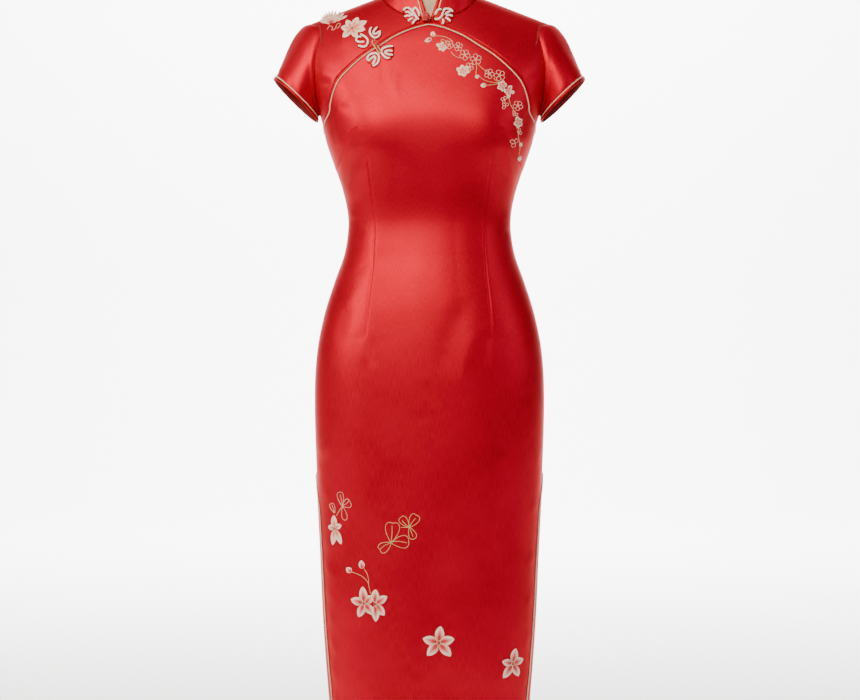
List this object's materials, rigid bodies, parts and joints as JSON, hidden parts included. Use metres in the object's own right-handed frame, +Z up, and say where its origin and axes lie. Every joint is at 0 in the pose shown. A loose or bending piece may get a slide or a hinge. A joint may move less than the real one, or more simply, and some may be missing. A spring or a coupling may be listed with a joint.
{
  "type": "cheongsam on a dress form",
  "caption": "Short-sleeved satin cheongsam with a double curved lapel, mandarin collar, frog fastenings and side slits, worn by a limbless dress form on a round base.",
  "frame": {"origin": "centre of the stand base's underside, on the surface that the part stands on", "axes": "+Z up along the pole, -Y out of the front of the dress, +X to the right of someone who looks at the front"},
  "size_m": [0.4836, 0.36, 1.5063],
  "materials": {
    "satin": "red silk satin",
    "ivory": "ivory satin cord and piping",
    "linen": "plain linen cover",
    "wood": "satin lacquer",
    "steel": "brushed"
  },
  "bodies": {
    "root": {"back_panel": "satin", "binding_collar": "satin", "binding_cuff_left": "satin", "binding_cuff_right": "satin", "binding_lapel": "satin", "binding_slit_back_left": "satin", "binding_slit_back_right": "satin", "binding_slit_front_left": "satin", "binding_slit_front_right": "satin", "collar_stand": "satin", "form_base": "steel", "form_body": "linen", "form_cap": "wood", "form_pole": "steel", "frog_collar_left": "ivory", "frog_collar_right": "ivory", "frog_lapel_lower_a": "ivory", "frog_lapel_lower_b": "ivory", "frog_lapel_upper_a": "ivory", "frog_lapel_upper_b": "ivory", "front_panel": "satin", "knot_collar": "satin", "knot_lapel": "satin", "pad_collar_left": "satin", "pad_collar_right": "satin", "pad_lapel_lower_a": "satin", "pad_lapel_lower_b": "satin", "pad_lapel_upper_a": "satin", "pad_lapel_upper_b": "satin", "piping_collar": "ivory", "piping_cuff_left": "ivory", "piping_cuff_right": "ivory", "piping_lapel": "ivory", "piping_slit_back_left": "ivory", "piping_slit_back_right": "ivory", "piping_slit_front_left": "ivory", "piping_slit_front_right": "ivory", "sleeve_left": "satin", "sleeve_right": "satin", "yoke_left": "satin", "yoke_right": "satin"}
  },
  "joints": []
}
